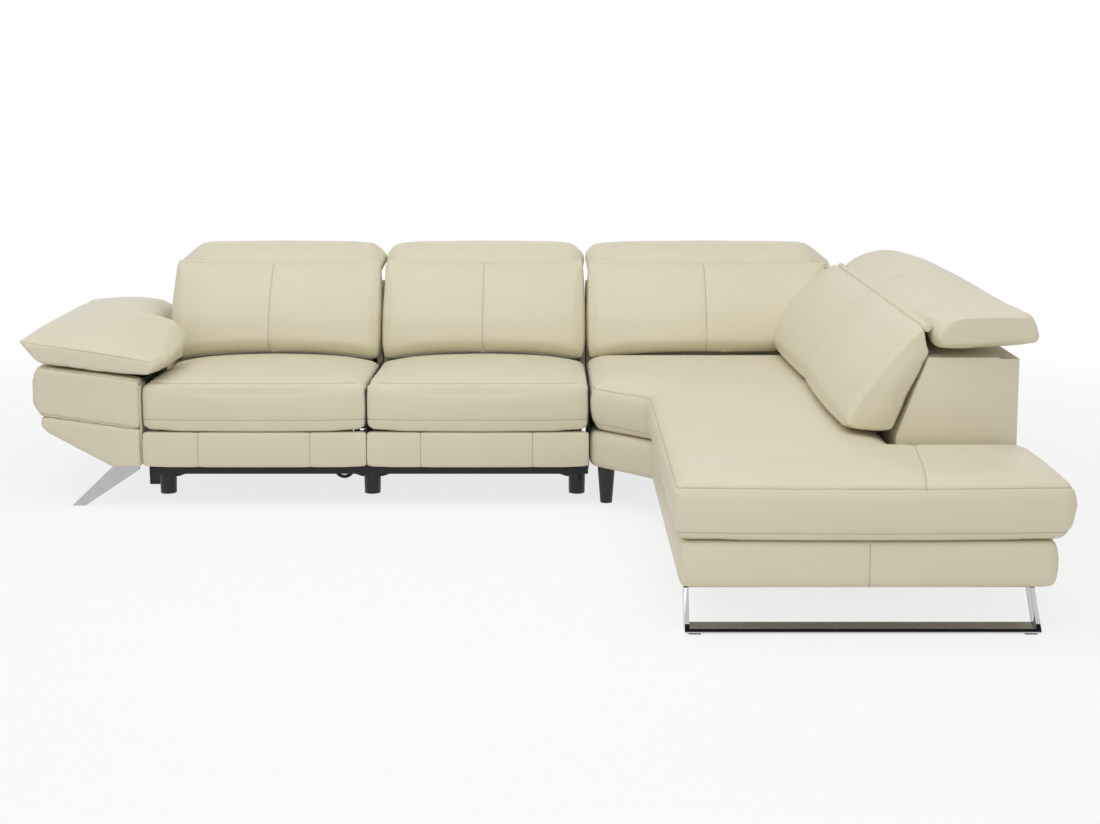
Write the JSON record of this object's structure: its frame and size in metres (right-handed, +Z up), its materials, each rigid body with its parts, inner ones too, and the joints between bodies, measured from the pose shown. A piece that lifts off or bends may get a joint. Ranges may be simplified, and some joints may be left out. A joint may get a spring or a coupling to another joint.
{
  "type": "corner sofa",
  "caption": "Leather corner sofa with reclining seats, folding footrests, hinged headrests, a tilting arm pad and a long chaise on its right.",
  "frame": {"origin": "bottom centre of the whole sofa's bounding box, on the floor", "axes": "+X along the sofa from the arm to the chaise, +Y to the rear of the seats, +Z up"},
  "size_m": [3.115, 2.399, 0.8024],
  "materials": {
    "leather": "smooth satin ivory leather",
    "dark_steel": "black powder coat",
    "grey_metal": "light grey satin",
    "chrome": "polished",
    "black_plastic": "matt black",
    "webbing": "woven elastic webbing",
    "cable_sheath": "matt black sheath"
  },
  "bodies": {
    "sofa_body": {"arm_middle_block": "leather", "arm_lower_block": "leather", "arm_side_panel": "leather", "arm_legs": "grey_metal", "arm_hinge_fixed_leaf": "dark_steel", "recliner_feet": "black_plastic", "recliner_base_frame": "dark_steel", "slide_tracks": "dark_steel", "recline_actuators": "dark_steel", "corner_seat_cushion": "leather", "corner_base": "leather", "corner_back_shell": "leather", "chaise_back_shell": "leather", "back_cushion_corner": "leather", "back_cushion_chaise": "leather", "headrest_hinge_back_corner": "dark_steel", "headrest_hinge_back_chaise": "dark_steel", "corner_legs": "black_plastic", "sled_leg": "chrome", "sled_glides": "black_plastic", "unit_connectors": "dark_steel", "power_cable_loop": "cable_sheath"},
    "arm_pad": {"arm_pad": "leather", "arm_hinge_pad_leaf": "dark_steel"},
    "headrest_corner": {"headrest_corner": "leather", "headrest_hinge_pad_corner": "dark_steel"},
    "headrest_chaise": {"headrest_chaise": "leather", "headrest_hinge_pad_chaise": "dark_steel"},
    "seat_left": {"seat_cushion_left": "leather", "seat_frame_left": "dark_steel", "seat_webbing_left": "webbing", "slide_runners_left": "dark_steel", "recline_rod_left": "chrome"},
    "back_left": {"back_cushion_left": "leather", "headrest_hinge_back_left": "dark_steel", "back_shell_left": "leather", "back_brackets_left": "dark_steel"},
    "headrest_left": {"headrest_left": "leather", "headrest_hinge_pad_left": "dark_steel"},
    "footrest_arms_left": {"footrest_arms_left": "dark_steel"},
    "footrest_struts_left": {"footrest_struts_left": "dark_steel"},
    "footrest_panel_left": {"footrest_panel_left": "leather", "footrest_lugs_left": "dark_steel"},
    "seat_middle": {"seat_cushion_middle": "leather", "seat_frame_middle": "dark_steel", "seat_webbing_middle": "webbing", "slide_runners_middle": "dark_steel", "recline_rod_middle": "chrome"},
    "back_middle": {"back_cushion_middle": "leather", "headrest_hinge_back_middle": "dark_steel", "back_shell_middle": "leather", "back_brackets_middle": "dark_steel"},
    "headrest_middle": {"headrest_middle": "leather", "headrest_hinge_pad_middle": "dark_steel"},
    "footrest_arms_middle": {"footrest_arms_middle": "dark_steel"},
    "footrest_struts_middle": {"footrest_struts_middle": "dark_steel"},
    "footrest_panel_middle": {"footrest_panel_middle": "leather", "footrest_lugs_middle": "dark_steel"}
  },
  "joints": [
    {"name": "arm_pad_tilt", "type": "hinge", "parent": "sofa_body", "child": "arm_pad", "pos_m": [-1.1675, 0.4595, 0.4165], "axis": [0, 1, 0], "range_deg": [0, 9]},
    {"name": "headrest_raise_corner", "type": "hinge", "parent": "sofa_body", "child": "headrest_corner", "pos_m": [0.74, 0.9245, 0.738], "axis": [1, 0, 0], "range_deg": [0, 75]},
    {"name": "headrest_raise_chaise", "type": "hinge", "parent": "sofa_body", "child": "headrest_chaise", "pos_m": [1.2365, 0.0845, 0.738], "axis": [0, -1, 0], "range_deg": [0, 75]},
    {"name": "seat_slide_left", "type": "slide", "parent": "sofa_body", "child": "seat_left", "axis": [0, -1, 0], "range_m": [0, 0.11]},
    {"name": "back_recline_left", "type": "hinge", "parent": "seat_left", "child": "back_left", "pos_m": [-0.7925, 0.8595, 0.33], "axis": [-1, 0, 0], "range_deg": [0, 20]},
    {"name": "headrest_raise_left", "type": "hinge", "parent": "back_left", "child": "headrest_left", "pos_m": [-0.7925, 0.9245, 0.738], "axis": [1, 0, 0], "range_deg": [0, 75]},
    {"name": "footrest_lift_left", "type": "hinge", "parent": "seat_left", "child": "footrest_arms_left", "pos_m": [-0.7925, 0.2615, 0.225], "axis": [-1, 0, 0], "range_deg": [0, 177]},
    {"name": "footrest_fold_left", "type": "hinge", "parent": "footrest_arms_left", "child": "footrest_struts_left", "pos_m": [-0.7925, 0.41004, 0.20412], "axis": [1, 0, 0], "range_deg": [0, 137]},
    {"name": "footrest_turn_left", "type": "hinge", "parent": "footrest_struts_left", "child": "footrest_panel_left", "pos_m": [-0.7925, 0.26513, 0.20918], "axis": [-1, 0, 0], "range_deg": [0, 45]},
    {"name": "seat_slide_middle", "type": "slide", "parent": "sofa_body", "child": "seat_middle", "axis": [0, -1, 0], "range_m": [0, 0.11]},
    {"name": "back_recline_middle", "type": "hinge", "parent": "seat_middle", "child": "back_middle", "pos_m": [-0.0525, 0.8595, 0.33], "axis": [-1, 0, 0], "range_deg": [0, 20]},
    {"name": "headrest_raise_middle", "type": "hinge", "parent": "back_middle", "child": "headrest_middle", "pos_m": [-0.0525, 0.9245, 0.738], "axis": [1, 0, 0], "range_deg": [0, 75]},
    {"name": "footrest_lift_middle", "type": "hinge", "parent": "seat_middle", "child": "footrest_arms_middle", "pos_m": [-0.0525, 0.2615, 0.225], "axis": [-1, 0, 0], "range_deg": [0, 177]},
    {"name": "footrest_fold_middle", "type": "hinge", "parent": "footrest_arms_middle", "child": "footrest_struts_middle", "pos_m": [-0.0525, 0.41004, 0.20412], "axis": [1, 0, 0], "range_deg": [0, 137]},
    {"name": "footrest_turn_middle", "type": "hinge", "parent": "footrest_struts_middle", "child": "footrest_panel_middle", "pos_m": [-0.0525, 0.26513, 0.20918], "axis": [-1, 0, 0], "range_deg": [0, 45]}
  ],
  "couplings": [
    {"joint": "back_recline_left", "follows": "seat_slide_left", "rad_per_m": 3.1733},
    {"joint": "footrest_fold_left", "follows": "footrest_lift_left", "ratio": 0.77401},
    {"joint": "footrest_turn_left", "follows": "footrest_lift_left", "ratio": 0.25424},
    {"joint": "back_recline_middle", "follows": "seat_slide_middle", "rad_per_m": 3.1733},
    {"joint": "footrest_fold_middle", "follows": "footrest_lift_middle", "ratio": 0.77401},
    {"joint": "footrest_turn_middle", "follows": "footrest_lift_middle", "ratio": 0.25424}
  ]
}
